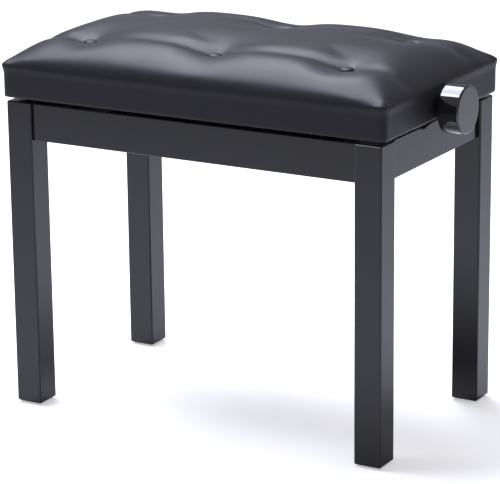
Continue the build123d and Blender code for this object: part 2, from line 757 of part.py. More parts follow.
with BuildPart() as seat_buttons:
    with Locations((0, 0, button_z)):
        with GridLocations(button_pitch_x, button_pitch_y, button_columns, button_rows):
            Cylinder(button_radius, button_height, align=ON_BASE)
    fillet(seat_buttons.edges().group_by(Axis.Z)[-1], button_round)
    washer_z = board_bottom - button_washer_thickness
    with Locations((0, 0, washer_z)):
        with GridLocations(button_pitch_x, button_pitch_y, button_columns, button_rows):
            Cylinder(shank_radius, button_z - washer_z, align=ON_BASE)
save(seat_buttons.part, "seat_buttons")

with BuildPart() as button_washers:
    with BuildSketch(Plane.XY.offset(board_bottom - button_washer_thickness)):
        with GridLocations(button_pitch_x, button_pitch_y, button_columns, button_rows):
            Circle(button_washer_radius)
            Circle(shank_radius + hole_clearance, mode=Mode.SUBTRACT)
    extrude(amount=button_washer_thickness)
save(button_washers.part, "button_washers")

# ---------------------------------------------------------------- screw bushes, right end
with BuildPart() as screw_bush:
    with BuildSketch(facing_x(frame_inner_x)):
        with Locations((0, screw_z)):
            Circle(screw_bush_radius)
    extrude(amount=frame_thickness + cover_thickness)
    with BuildSketch(facing_x(seat_length / 2)):
        with Locations((0, screw_z)):
            Circle(screw_bush_flange_radius)
    extrude(amount=screw_bush_flange)
    drill(
        [start(frame_inner_x, 0, screw_z, (1, 0, 0))],
        shaft_radius + running_clearance,
        frame_thickness + cover_thickness + screw_bush_flange,
    )
save(to_corner(screw_bush.part, LEFT, REAR), "screw_bush_left")
save(to_corner(screw_bush.part, RIGHT, REAR), "screw_bush_right")

# ---------------------------------------------------------------- drive screw, collars and knobs
screw_axis = Axis((0, 0, screw_z), (1, 0, 0))
thread_rings = int((thread_end_x - thread_start_x) / thread_pitch)
thread_form = (            # share of the pitch, radius
    (0.15, thread_root_radius),
    (0.35, thread_root_radius),
    (0.5, thread_radius),
    (0.85, thread_radius),
)
with BuildPart() as drive_screw:
    with BuildSketch(facing_y(0)):
        with BuildLine():
            outline = [(-shaft_end_x, screw_z), (-shaft_end_x, screw_z + shaft_radius)]
            outline.append((thread_start_x, screw_z + shaft_radius))
            for ring in range(thread_rings):
                ring_x = thread_start_x + ring * thread_pitch
                for share, radius in thread_form:
                    outline.append((ring_x + thread_pitch * share, screw_z + radius))
            thread_stop_x = thread_start_x + thread_rings * thread_pitch
            outline.append((thread_stop_x, screw_z + shaft_radius))
            outline.append((shaft_end_x, screw_z + shaft_radius))
            outline.append((shaft_end_x, screw_z))
            Polyline(*outline, close=True)
        make_face()
    revolve(axis=screw_axis)
save(drive_screw.part, "drive_screw")

with BuildPart() as thrust_collars:
    for side in (LEFT, RIGHT):
        inner_x = fixed_x + side * (bar_side / 2 + collar_gap)
        with BuildSketch(facing_x(inner_x)):
            with Locations((0, screw_z)):
                Circle(collar_radius)
                Circle(shaft_radius + running_clearance, mode=Mode.SUBTRACT)
        extrude(amount=side * collar_length)
        collar_hole = start(inner_x + side * collar_length / 2, 0, screw_z - collar_radius, (0, 0, 1))
        drill([collar_hole], set_screw_radius + hole_clearance, collar_radius)
save(thrust_collars.part, "thrust_collars")

knob_screw_x = seat_length / 2 + knob_offset + knob_length / 2
with BuildPart() as knob:
    with BuildSketch(facing_y(0)):
        with BuildLine():
            Polyline(
                (knob_x - knob_offset + screw_bush_flange + knob_hub_gap, screw_z),
                (knob_x - knob_offset + screw_bush_flange + knob_hub_gap, screw_z + knob_hub_radius),
                (knob_x, screw_z + knob_hub_radius),
                (knob_x, screw_z + knob_radius),
                (knob_x + knob_length, screw_z + knob_radius),
                (knob_x + knob_length, screw_z),
                close=True,
            )
        make_face()
    revolve(axis=screw_axis)
    rims = knob.edges().filter_by(GeomType.CIRCLE).sort_by(SortBy.RADIUS)[-2:].sort_by(Axis.X)
    fillet(rims[1], knob_edge_round)
    fillet(rims[0], knob_back_round)
    drill(
        [start(knob_x - knob_offset, 0, screw_z, (1, 0, 0))],
        shaft_radius + running_clearance,
        knob_offset + knob_grip_depth + hole_end_gap,
    )
    set_screw_hole = start(knob_screw_x, 0, screw_z - knob_radius, (0, 0, 1))
    drill([set_screw_hole], set_screw_radius + hole_clearance, knob_radius)
save(to_corner(knob.part, LEFT, REAR), "knob_left")
save(to_corner(knob.part, RIGHT, REAR), "knob_right")

with BuildPart() as set_screws:
    tips_z = screw_z - shaft_radius - running_clearance
    for x in (
        -knob_screw_x,
        knob_screw_x,
        fixed_x - bar_side / 2 - collar_gap - collar_length / 2,
        fixed_x + bar_side / 2 + collar_gap + collar_length / 2,
    ):
        with BuildSketch(Plane.XY.offset(tips_z - set_screw_length)):
            with Locations((x, 0)):
                Circle(set_screw_radius)
        extrude(amount=set_screw_length)
save(set_screws.part, "set_screws")

print(f"arms at rest {rest_angle:.3f} deg, raised {raised_angle:.3f} deg")
print(f"slide travel {slide_travel:.3f} mm, knob turns {knob_turns:.3f}")
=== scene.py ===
import math
import random

import bmesh
import bpy
import numpy as np
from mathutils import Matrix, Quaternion, Vector


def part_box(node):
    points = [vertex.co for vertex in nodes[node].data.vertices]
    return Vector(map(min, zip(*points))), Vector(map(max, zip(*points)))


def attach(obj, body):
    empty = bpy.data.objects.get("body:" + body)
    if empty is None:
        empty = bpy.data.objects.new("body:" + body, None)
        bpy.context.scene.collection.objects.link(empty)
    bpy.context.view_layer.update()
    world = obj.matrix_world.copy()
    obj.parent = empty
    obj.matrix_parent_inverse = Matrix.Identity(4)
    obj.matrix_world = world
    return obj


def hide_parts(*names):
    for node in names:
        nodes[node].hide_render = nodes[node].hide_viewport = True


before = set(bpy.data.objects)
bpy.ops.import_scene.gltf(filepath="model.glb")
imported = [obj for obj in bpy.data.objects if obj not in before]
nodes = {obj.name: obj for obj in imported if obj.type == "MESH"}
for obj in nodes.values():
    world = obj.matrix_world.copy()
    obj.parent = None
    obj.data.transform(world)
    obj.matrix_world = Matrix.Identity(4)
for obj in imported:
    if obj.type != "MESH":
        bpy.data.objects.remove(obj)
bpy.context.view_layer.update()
scene = bpy.context.scene
MM = 0.001

# ---------------------------------------------------------------- places taken from the frame
cover_low, cover_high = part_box("seat_cover")
frame_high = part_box("seat_frame_front")[1]
buttons_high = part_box("seat_buttons")[1]
bush_low, bush_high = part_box("screw_bush_right")
washers_low, washers_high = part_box("button_washers")
knob_low, knob_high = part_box("knob_right")

half_x = cover_high.x
half_y = cover_high.y
seat_bottom = cover_low.z
seat_top = cover_high.z
frame_top = frame_high.z
washer_radius = 7 * MM         # the discs under the seat board that hold the buttons
button_x = washers_high.x - washer_radius
button_y = washers_high.y - washer_radius
button_top = buttons_high.z
button_places = [(x, y) for x in (-button_x, 0, button_x) for y in (-button_y, button_y)]
screw_z = (bush_low.z + bush_high.z) / 2

# ---------------------------------------------------------------- sizes of the soft parts
side_height = 46 * MM          # lower edge of the seat to the rolled top edge
edge_roll = 5 * MM             # radius of that rolled edge
corner_radius = 8 * MM
crown_power_x = 9.0            # how late the crown falls away towards the ends
crown_power_y = 5.2            # and towards the front and the rear
cover_thickness = 1.2 * MM
return_width = 13 * MM         # cover turned in under the frame
top_flare = 2.0 * MM           # foam pressing the cover out above the frame
flare_rise = 12 * MM           # height over which it grows, half of it below the frame's top
flare_reach = 14 * MM          # and how far in from the edge it fades
button_radius = 8.5 * MM
button_height = 4.5 * MM
button_bed = button_top - button_height
dome_radius = 1.02 * button_radius
dome_share = 0.55              # part of a button's height that its dome takes
button_tuck = 1.2 * MM         # rounding of a button's lower edge
shank_radius = 1.5 * MM
shank_overlap = 0.4 * MM       # shank let into the button
bed_radius = 7 * MM            # flat seat pressed into the cover by a button
dimple_wide = 38 * MM
dimple_tight = 6.5 * MM
tight_share = 0.5              # part of a dimple's depth that lies close to the button
row_valley = 5.0 * MM          # crease through the buttons of a row
row_valley_width = 12 * MM
column_valley = 1.5 * MM
column_valley_width = 30 * MM
pleat_height = 0.9 * MM
pleat_width = 2.6 * MM
pleat_fade = 0.75              # how much of a fold is gone at the lower edge
pleat_folds = ((11 * MM, 5 * MM, 1.0), (21 * MM, 9 * MM, 0.6))   # from the corner, slant, strength
pressure = 4.0
simulated_frames = 20
largest_move = 4 * MM
soft_angle = 50                # degrees: sharper edges of the soft parts stay sharp


# ---------------------------------------------------------------- modelling steps
def only(piece):
    """Make one object the active one and the only one selected."""
    bpy.ops.object.select_all(action="DESELECT")
    piece.select_set(True)
    bpy.context.view_layer.objects.active = piece


def edit(piece, kind="VERT"):
    """Start editing one object with nothing selected."""
    only(piece)
    bpy.ops.object.mode_set(mode="EDIT")
    bpy.ops.mesh.select_mode(type=kind)
    bpy.ops.mesh.select_all(action="DESELECT")


def leave_edit():
    bpy.ops.object.mode_set(mode="OBJECT")


def select_faces(piece, wanted):
    """Select the faces whose middle and normal pass a test. Called in edit mode."""
    mesh = bmesh.from_edit_mesh(piece.data)
    for face in mesh.faces:
        face.select_set(wanted(face.calc_center_median(), face.normal))
    bmesh.update_edit_mesh(piece.data)


def select_edges(piece, wanted):
    """Select the edges whose two ends pass a test. Called in edit mode."""
    mesh = bmesh.from_edit_mesh(piece.data)
    for edge in mesh.edges:
        edge.select_set(wanted(edge.verts[0].co, edge.verts[1].co))
    bmesh.update_edit_mesh(piece.data)


def select_rim(piece):
    """Select the open rim of a sheet. Called in edit mode."""
    mesh = bmesh.from_edit_mesh(piece.data)
    for edge in mesh.edges:
        edge.select_set(edge.is_boundary)
    bmesh.update_edit_mesh(piece.data)


def settle(piece):
    """Put an object's place, turn and scale into its mesh."""
    only(piece)
    bpy.ops.object.transform_apply(location=True, rotation=True, scale=True)


def apply_all(piece):
    """Apply every modifier of an object, in order."""
    only(piece)
    for modifier in list(piece.modifiers):
        bpy.ops.object.modifier_apply(modifier=modifier.name)


def smooth(piece, angle):
    """Shade smooth, but keep edges sharper than an angle in degrees."""
    only(piece)
    bpy.ops.object.shade_smooth_by_angle(angle=math.radians(angle))


def join(pieces, name):
    """Join several objects into the first one."""
    only(pieces[0])
    for piece in pieces:
        piece.select_set(True)
    bpy.ops.object.join()
    pieces[0].name = name
    pieces[0].data.name = name
    return pieces[0]


def twin(piece, place, turn=0):
    """A copy with a mesh of its own, turned about the vertical and moved."""
    copy = piece.copy()
    copy.data = piece.data.copy()
    copy.location = place
    copy.rotation_euler = (0, 0, turn)
    scene.collection.objects.link(copy)
    settle(copy)
    return copy


def coordinates(piece):
    """The places of an object's points, one row each."""
    points = np.empty(len(piece.data.vertices) * 3)
    piece.data.vertices.foreach_get("co", points)
    return points.reshape(-1, 3)


def set_coordinates(piece, points):
    piece.data.vertices.foreach_set("co", points.ravel())
    piece.data.update()


# ---------------------------------------------------------------- cushion cover
def crown_height(x, y):
    """Height of the untufted crown above the rolled edge, from the two falling curves."""
    fall_x = (np.abs(x) / half_x).clip(0, 1) ** crown_power_x
    fall_y = (np.abs(y) / half_y).clip(0, 1) ** crown_power_y
    return (seat_top - seat_bottom - side_height) * (1 - fall_x) * (1 - fall_y)


def tufting(x, y):
    """How far the buttons and the creases between them pull the cover down."""
    pull = np.zeros_like(x)
    near = np.zeros_like(x)
    for place_x, place_y in button_places:
        distance = (np.hypot(x - place_x, y - place_y) - bed_radius).clip(0)
        crown = crown_height(np.array(place_x), np.array(place_y))
        drop = seat_bottom + side_height + crown - button_bed
        wide = np.exp(-((distance / dimple_wide) ** 2))
        tight = np.exp(-((distance / dimple_tight) ** 2))
        pull += drop * ((1 - tight_share) * wide + tight_share * tight)
        near = np.maximum(near, tight)
    in_x = 1 - (np.abs(x) / half_x).clip(0, 1) ** crown_power_x
    in_y = 1 - (np.abs(y) / half_y).clip(0, 1) ** crown_power_y
    rows = row_valley * np.exp(-(((np.abs(y) - button_y) / row_valley_width) ** 2)) * in_x
    columns = np.zeros_like(x)
    for place_x in (-button_x, 0, button_x):
        columns += np.exp(-(((x - place_x) / column_valley_width) ** 2))
    columns *= column_valley * in_y
    return pull + (rows + columns) * (1 - near)


def stations(half, near_edge, step):
    """Distances from the middle, even inside and closer together near both edges."""
    inside = half - near_edge[-1]
    count = round(2 * inside / step)
    even = np.linspace(-inside, inside, count + 1)
    ends = half - np.array(near_edge[:-1])
    return np.concatenate((-ends, even, ends[::-1]))


near_edge = [d * MM for d in (0, 0.5, 1.5, 3, 5, 8, 12)]   # rows of points that carry the rolled edge
cover_step = 5.6 * MM
stations_x = stations(half_x, near_edge, cover_step)
stations_y = stations(half_y, near_edge, cover_step)
side_rings = 10
return_rings = 3
side_top = seat_bottom + side_height - edge_roll

bpy.ops.object.select_all(action="DESELECT")
bpy.ops.mesh.primitive_grid_add(
    x_subdivisions=len(stations_x) - 1,
    y_subdivisions=len(stations_y) - 1,
    size=2,
    location=(0, 0, 0),
)
cover = bpy.context.object
cover.name = "cushion_cover"
cover.data.name = "cushion_cover"
points = coordinates(cover)
points[:, 0] = np.interp(points[:, 0], np.linspace(-1, 1, len(stations_x)), stations_x)
points[:, 1] = np.interp(points[:, 1], np.linspace(-1, 1, len(stations_y)), stations_y)
points[:, 2] = side_top
set_coordinates(cover, points)

edit(cover, "EDGE")
select_rim(cover)
ring_step = (side_top - seat_bottom) / side_rings
for ring in range(side_rings):
    bpy.ops.mesh.extrude_edges_move(TRANSFORM_OT_translate={"value": (0, 0, -ring_step)})
shrink = return_width / return_rings
for ring in range(return_rings):
    inner_x = half_x - return_width * ring / return_rings
    inner_y = half_y - return_width * ring / return_rings
    bpy.ops.mesh.extrude_edges_move(TRANSFORM_OT_translate={"value": (0, 0, 0)})
    bpy.ops.transform.resize(
        value=(1 - shrink / inner_x, 1 - shrink / inner_y, 1),
        center_override=(0, 0, seat_bottom),
    )
bpy.ops.mesh.select_all(action="SELECT")
bpy.ops.mesh.normals_make_consistent(inside=False)
leave_edit()


def shape_cover(piece):
    """Roll the edge, crown and tuft the top, round the corners, and let the foam press the sides out."""
    points = coordinates(piece)
    x, y, z = points.T.copy()
    top = z > side_top - ring_step / 4
    inset = np.minimum(half_x - np.abs(x), half_y - np.abs(y)).clip(0)
    roll = edge_roll * np.sqrt(1 - (1 - (inset / edge_roll).clip(0, 1)) ** 2)
    height = side_top + roll + crown_height(x, y) - tufting(x, y)
    z = np.where(top, height, z)

    corner_x = (np.abs(x) - (half_x - corner_radius)).clip(0)
    corner_y = (np.abs(y) - (half_y - corner_radius)).clip(0)
    length = np.hypot(corner_x, corner_y).clip(1e-9)
    square = np.maximum(corner_x, corner_y)
    turn = np.where((corner_x > 0) & (corner_y > 0), square / length, 1)
    round_x = np.sign(x) * (np.minimum(np.abs(x), half_x - corner_radius) + corner_x * turn)
    round_y = np.sign(y) * (np.minimum(np.abs(y), half_y - corner_radius) + corner_y * turn)

    rise = ((z - frame_top) / flare_rise + 0.5).clip(0, 1)
    rise = rise * rise * (3 - 2 * rise)
    edge_share = (1 - inset / flare_reach).clip(0, 1)
    flare = top_flare * rise * edge_share
    pleats = pleat_lines(half_x - np.abs(x), half_y - np.abs(y), z, inset)
    on_end = (half_x - np.abs(x)) < (half_y - np.abs(y))
    push = flare + pleats
    points[:, 0] = round_x + np.sign(x) * np.where(on_end, push, flare * (corner_x > 0))
    points[:, 1] = round_y + np.sign(y) * np.where(on_end, flare * (corner_y > 0), push)
    points[:, 2] = z
    set_coordinates(piece, points)


def pleat_lines(from_end, from_side, z, inset):
    """Two slanted folds on each side of a corner, where the cover is gathered round it."""
    along = np.maximum(from_end, from_side)
    down = ((seat_bottom + side_height - z) / side_height).clip(0, 1)
    on_wall = inset < 1 * MM
    folds = np.zeros_like(z)
    for place, slant, strength in pleat_folds:
        line = place + slant * down
        fold = np.exp(-(((along - line) / pleat_width) ** 2))
        folds += strength * fold * (1 - pleat_fade * down)
    return pleat_height * folds * on_wall


shape_cover(cover)


def pin_cover(piece):
    """Hold the part of the cover that is backed by the frame and the discs under the buttons."""
    pins = piece.vertex_groups.new(name="held")
    for vertex in piece.data.vertices:
        held = 1.0 if vertex.co.z < frame_top else 0.0
        for place_x, place_y in button_places:
            distance = math.hypot(vertex.co.x - place_x, vertex.co.y - place_y)
            if vertex.co.z > frame_top and distance < button_radius:
                held = 1.0
        if held:
            pins.add([vertex.index], held, "REPLACE")


def inflate(piece):
    """Stretch the cover over the foam: cloth under pressure, then no point further than the cap."""
    pin_cover(piece)
    before = coordinates(piece)
    cloth = piece.modifiers.new("cloth", "CLOTH")
    cloth.settings.quality = 6
    cloth.settings.mass = 0.3
    cloth.settings.tension_stiffness = 25
    cloth.settings.compression_stiffness = 12
    cloth.settings.shear_stiffness = 8
    cloth.settings.bending_stiffness = 1.5
    cloth.settings.use_pressure = True
    cloth.settings.uniform_pressure_force = pressure
    cloth.settings.vertex_group_mass = "held"
    cloth.settings.effector_weights.gravity = 0
    cloth.collision_settings.use_self_collision = False
    for step in range(1, simulated_frames + 1):
        scene.frame_set(step)
    apply_all(piece)
    scene.frame_set(1)
    move = coordinates(piece) - before
    length = np.linalg.norm(move, axis=1).clip(1e-12)
    capped = largest_move * np.tanh(length / largest_move)
    set_coordinates(piece, before + move * (capped / length)[:, None])


inflate(cover)

subdivide = cover.modifiers.new("rounding", "SUBSURF")
subdivide.levels = subdivide.render_levels = 1
apply_all(cover)


# ---------------------------------------------------------------- foam under the cover
foam = cover.copy()
foam.data = cover.data.copy()
foam.name = "foam_pad"
foam.data.name = "foam_pad"
scene.collection.objects.link(foam)
foam_clearance = 0.3 * MM
edit(foam)
bpy.ops.mesh.select_all(action="SELECT")
bpy.ops.mesh.bisect(
    plane_co=(0, 0, frame_top + foam_clearance),
    plane_no=(0, 0, 1),
    clear_inner=True,
    use_fill=False,
)
bpy.ops.mesh.select_all(action="SELECT")
bpy.ops.transform.shrink_fatten(value=-(cover_thickness + foam_clearance))
leave_edit()
foam_points = coordinates(foam)
foam_points[:, 2] = foam_points[:, 2].clip(frame_top + foam_clearance)
set_coordinates(foam, foam_points)
edit(foam, "EDGE")
select_rim(foam)
bpy.ops.mesh.edge_face_add()
bpy.ops.mesh.select_all(action="SELECT")
bpy.ops.mesh.normals_make_consistent(inside=False)
leave_edit()
smooth(foam, soft_angle)

wall = cover.modifiers.new("wall", "SOLIDIFY")
wall.thickness = cover_thickness
wall.offset = -1
apply_all(cover)


def boring(place, radius, depth, turn=(0, 0, 0)):
    """Round cutter for a hole through the cover."""
    bpy.ops.object.select_all(action="DESELECT")
    bpy.ops.mesh.primitive_cylinder_add(
        vertices=32, radius=radius, depth=depth, location=place, rotation=turn
    )
    cutter = bpy.context.object
    settle(cutter)
    return cutter


bush_hole = 8.1 * MM
shank_hole = 1.9 * MM
hole_depth = 20 * MM
cutters = [boring((0, 0, screw_z), bush_hole, 3 * half_x, (0, math.pi / 2, 0))]
for place_x, place_y in button_places:
    cutters.append(boring((place_x, place_y, button_bed), shank_hole, hole_depth))
cutter = join(cutters, "cutter")
holes = cover.modifiers.new("holes", "BOOLEAN")
holes.object = cutter
holes.operation = "DIFFERENCE"
apply_all(cover)
bpy.data.objects.remove(cutter)
smooth(cover, soft_angle)


# ---------------------------------------------------------------- covered buttons
def covered_button():
    """Domed button wrapped in the cover's leather, with a tucked lower edge and its shank."""
    bpy.ops.object.select_all(action="DESELECT")
    bpy.ops.mesh.primitive_cylinder_add(
        vertices=40,
        radius=button_radius,
        depth=button_height,
        end_fill_type="TRIFAN",
        location=(0, 0, button_height / 2),
    )
    button = bpy.context.object
    settle(button)
    edit(button, "FACE")
    select_faces(button, lambda middle, normal: normal.z > 0.9)
    bpy.ops.mesh.subdivide(number_cuts=4)
    leave_edit()
    points = coordinates(button)
    radius = np.hypot(points[:, 0], points[:, 1])
    dome = np.sqrt((1 - (radius / dome_radius) ** 2).clip(0, 1))
    upper = points[:, 2] > button_height * 0.9
    domed = button_height * (1 - dome_share + dome_share * dome)
    points[:, 2] = np.where(upper, domed, points[:, 2])
    set_coordinates(button, points)
    edit(button, "EDGE")
    low = 0.1 * MM
    rim_inside = button_radius - 0.5 * MM

    def on_lower_rim(a, b):
        return max(a.z, b.z) < low and min(a.xy.length, b.xy.length) > rim_inside

    select_edges(button, on_lower_rim)
    bpy.ops.mesh.bevel(offset=button_tuck, segments=3, profile=0.6)
    leave_edit()
    bpy.ops.object.select_all(action="DESELECT")
    shank_length = button_bed - washers_low.z
    bpy.ops.mesh.primitive_cylinder_add(
        vertices=20,
        radius=shank_radius,
        depth=shank_length,
        location=(0, 0, shank_overlap - shank_length / 2),
    )
    shank = bpy.context.object
    settle(shank)
    edit(shank, "EDGE")
    select_edges(shank, lambda a, b: abs(a.z - b.z) < low)
    bpy.ops.mesh.bevel(offset=0.3 * MM, segments=2)
    leave_edit()
    return join([button, shank], "covered_button")


pattern = covered_button()
buttons = [twin(pattern, (x, y, button_bed)) for x, y in button_places]
bpy.data.objects.remove(pattern)
covered_buttons = join(buttons, "covered_buttons")
smooth(covered_buttons, soft_angle)


# ---------------------------------------------------------------- staples that hold the cover
staple_width = 10 * MM
staple_wire = 0.7 * MM
staple_leg = 6 * MM
staple_pitch = 32 * MM
staple_margin = 20 * MM        # from a corner to the first staple
staple_stray = 2 * MM          # unevenness of hand stapling, along the row
staple_turn = 0.12             # and in its turn, in radians
staple_inset = return_width * 0.62


def wire_staple():
    """Crown of a staple with its two legs going up, made from one bar whose ends are drawn up."""
    bpy.ops.object.select_all(action="DESELECT")
    bpy.ops.mesh.primitive_cube_add(size=1, location=(0, 0, 0))
    staple = bpy.context.object
    staple.scale = (staple_width, staple_wire * 1.6, staple_wire)
    settle(staple)
    edit(staple, "FACE")
    inner = staple_width / 2 - staple_wire
    for x in (-inner, inner):
        bpy.ops.mesh.select_all(action="SELECT")
        bpy.ops.mesh.bisect(plane_co=(x, 0, 0), plane_no=(1, 0, 0))
    select_faces(staple, lambda middle, normal: normal.z > 0.9 and abs(middle.x) > inner)
    bpy.ops.mesh.extrude_region_move(TRANSFORM_OT_translate={"value": (0, 0, staple_leg)})

    def on_outer_corner(a, b):
        level = abs(a.x - b.x) < 1e-6
        return level and max(a.z, b.z) < 0 and min(abs(a.x), abs(b.x)) > inner

    select_edges(staple, on_outer_corner)
    bpy.ops.mesh.bevel(offset=staple_wire * 0.45, segments=2)
    leave_edit()
    return staple


random.seed(7)
staple = wire_staple()
staples = []
staple_z = seat_bottom - staple_wire * 0.4
line_x = half_x - staple_inset
line_y = half_y - staple_inset


def along_row(half):
    """Uneven places along a row that is as long as the cover's edge, less its corners."""
    span = half - staple_margin
    count = int(2 * span / staple_pitch)
    for i in range(count + 1):
        yield (i / count - 0.5) * 2 * span + random.uniform(-staple_stray, staple_stray)


def stray_turn():
    """How far a staple is turned out of its row."""
    return random.uniform(-staple_turn, staple_turn)


for side in (-1, 1):
    for x in along_row(line_x):
        staples.append(twin(staple, (x, side * line_y, staple_z), stray_turn()))
    for y in along_row(line_y):
        staples.append(twin(staple, (side * line_x, y, staple_z), math.pi / 2 + stray_turn()))
bpy.data.objects.remove(staple)
cover_staples = join(staples, "cover_staples")


# ---------------------------------------------------------------- node groups shared by the finishes
def new_group(name, inputs, outputs):
    """Empty node group with the named sockets and their starting values."""
    group = bpy.data.node_groups.new(name, "ShaderNodeTree")
    for socket_name, kind, value in inputs:
        socket = group.interface.new_socket(name=socket_name, in_out="INPUT", socket_type=kind)
        socket.default_value = value
    for socket_name, kind in outputs:
        group.interface.new_socket(name=socket_name, in_out="OUTPUT", socket_type=kind)
    return group, group.nodes.new("NodeGroupInput"), group.nodes.new("NodeGroupOutput")


def put(tree, kind, **values):
    """Add a node and set its properties and its unlinked inputs by name."""
    node = tree.nodes.new(kind)
    for name, value in values.items():
        if hasattr(node, name):
            setattr(node, name, value)
        else:
            node.inputs[name.replace("_", " ")].default_value = value
    return node


def math_node(tree, operation, a, b=None):
    """Math node whose inputs are sockets or numbers."""
    node = tree.nodes.new("ShaderNodeMath")
    node.operation = operation
    for i, value in enumerate((a, b)):
        if value is None:
            continue
        if isinstance(value, (int, float)):
            node.inputs[i].default_value = value
        else:
            tree.links.new(value, node.inputs[i])
    return node.outputs[0]


FLOAT = "NodeSocketFloat"
COLOR = "NodeSocketColor"
VECTOR = "NodeSocketVector"
MIX_A, MIX_B, MIX_RESULT = 6, 7, 2   # the colour sockets of a Mix node, which share their names


def make_smudges():
    """Soft patches of handling and polish: a mask that changes slowly over the surface."""
    group, source, result = new_group(
        "smudges", [("Scale", FLOAT, 12.0), ("Contrast", FLOAT, 1.0)], [("Mask", FLOAT)]
    )
    place = group.nodes.new("ShaderNodeTexCoord")
    noise = put(group, "ShaderNodeTexNoise", Detail=5.0, Roughness=0.6, Distortion=0.4)
    group.links.new(place.outputs["Object"], noise.inputs["Vector"])
    group.links.new(source.outputs["Scale"], noise.inputs["Scale"])
    centred = math_node(group, "SUBTRACT", noise.outputs["Fac"], 0.5)
    scaled = math_node(group, "MULTIPLY", centred, source.outputs["Contrast"])
    lifted = math_node(group, "ADD", scaled, 0.5)
    clamp = put(group, "ShaderNodeClamp")
    group.links.new(lifted, clamp.inputs["Value"])
    group.links.new(clamp.outputs[0], result.inputs["Mask"])
    return group


def make_dust():
    """Fine specks that lie on surfaces facing up."""
    group, source, result = new_group("dust", [("Amount", FLOAT, 0.2)], [("Mask", FLOAT)])
    place = group.nodes.new("ShaderNodeTexCoord")
    geometry = group.nodes.new("ShaderNodeNewGeometry")
    split = group.nodes.new("ShaderNodeSeparateXYZ")
    group.links.new(geometry.outputs["Normal"], split.inputs[0])
    facing = put(group, "ShaderNodeMapRange")
    group.links.new(split.outputs["Z"], facing.inputs["Value"])
    facing.inputs["From Min"].default_value = 0.5
    facing.inputs["From Max"].default_value = 1.0
    specks = put(group, "ShaderNodeTexNoise", Scale=900.0, Detail=2.0)
    group.links.new(place.outputs["Object"], specks.inputs["Vector"])
    sharp = put(group, "ShaderNodeMapRange")
    group.links.new(specks.outputs["Fac"], sharp.inputs["Value"])
    sharp.inputs["From Min"].default_value = 0.62
    sharp.inputs["From Max"].default_value = 0.72
    both = math_node(group, "MULTIPLY", facing.outputs[0], sharp.outputs[0])
    amount = math_node(group, "MULTIPLY", both, source.outputs["Amount"])
    group.links.new(amount, result.inputs["Mask"])
    return group


def make_edge_mask():
    """Edges and corners, found by comparing the rounded normal with the true one."""
    group, source, result = new_group("edge_mask", [("Amount", FLOAT, 1.0)], [("Mask", FLOAT)])
    rounded = put(group, "ShaderNodeBevel", samples=4, Radius=1.2 * MM)
    geometry = group.nodes.new("ShaderNodeNewGeometry")
    dot = group.nodes.new("ShaderNodeVectorMath")
    dot.operation = "DOT_PRODUCT"
    group.links.new(rounded.outputs[0], dot.inputs[0])
    group.links.new(geometry.outputs["Normal"], dot.inputs[1])
    away = math_node(group, "SUBTRACT", 1.0, dot.outputs["Value"])
    strong = math_node(group, "MULTIPLY", away, 8.0)
    clamp = put(group, "ShaderNodeClamp")
    group.links.new(strong, clamp.inputs["Value"])
    amount = math_node(group, "MULTIPLY", clamp.outputs[0], source.outputs["Amount"])
    group.links.new(amount, result.inputs["Mask"])
    return group


def make_leather_grain():
    """Pebbled grain of pressed leather: rounded cells of two sizes with fine pores between."""
    group, source, result = new_group(
        "leather_grain", [("Scale", FLOAT, 900.0)], [("Height", FLOAT), ("Pores", FLOAT)]
    )
    place = group.nodes.new("ShaderNodeTexCoord")
    large = put(group, "ShaderNodeTexVoronoi", feature="SMOOTH_F1", Smoothness=0.6)
    small = put(group, "ShaderNodeTexVoronoi", feature="SMOOTH_F1", Smoothness=0.5)
    finer = math_node(group, "MULTIPLY", source.outputs["Scale"], 2.3)
    group.links.new(source.outputs["Scale"], large.inputs["Scale"])
    group.links.new(finer, small.inputs["Scale"])
    for cells in (large, small):
        group.links.new(place.outputs["Object"], cells.inputs["Vector"])
    faint = math_node(group, "MULTIPLY", small.outputs["Distance"], 0.4)
    total = math_node(group, "ADD", large.outputs["Distance"], faint)
    height = math_node(group, "SUBTRACT", 1.0, total)
    group.links.new(height, result.inputs["Height"])
    pores = math_node(group, "SUBTRACT", large.outputs["Distance"], 0.45)
    clamp = put(group, "ShaderNodeClamp")
    group.links.new(pores, clamp.inputs["Value"])
    group.links.new(clamp.outputs[0], result.inputs["Pores"])
    return group


def make_wood_grain():
    """Long growth rings and pores; Direction is the board's length."""
    group, source, result = new_group(
        "wood_grain",
        [
            ("Direction", VECTOR, (0.06, 1.0, 1.0)),
            ("Light", COLOR, (0.6, 0.4, 0.2, 1)),
            ("Dark", COLOR, (0.4, 0.24, 0.1, 1)),
        ],
        [("Color", COLOR), ("Height", FLOAT)],
    )
    place = group.nodes.new("ShaderNodeTexCoord")
    stretch = group.nodes.new("ShaderNodeVectorMath")
    stretch.operation = "MULTIPLY"
    group.links.new(place.outputs["Object"], stretch.inputs[0])
    group.links.new(source.outputs["Direction"], stretch.inputs[1])
    rings = put(group, "ShaderNodeTexNoise", Scale=38.0, Detail=3.0, Distortion=1.6)
    pores = put(group, "ShaderNodeTexNoise", Scale=620.0, Detail=2.0)
    for noise in (rings, pores):
        group.links.new(stretch.outputs[0], noise.inputs["Vector"])
    bands = math_node(group, "MULTIPLY", rings.outputs["Fac"], 9.0)
    fraction = math_node(group, "FRACT", bands)
    mix = group.nodes.new("ShaderNodeMix")
    mix.data_type = "RGBA"
    group.links.new(fraction, mix.inputs["Factor"])
    group.links.new(source.outputs["Light"], mix.inputs[MIX_A])
    group.links.new(source.outputs["Dark"], mix.inputs[MIX_B])
    group.links.new(mix.outputs[MIX_RESULT], result.inputs["Color"])
    height = math_node(group, "ADD", fraction, pores.outputs["Fac"])
    group.links.new(height, result.inputs["Height"])
    return group


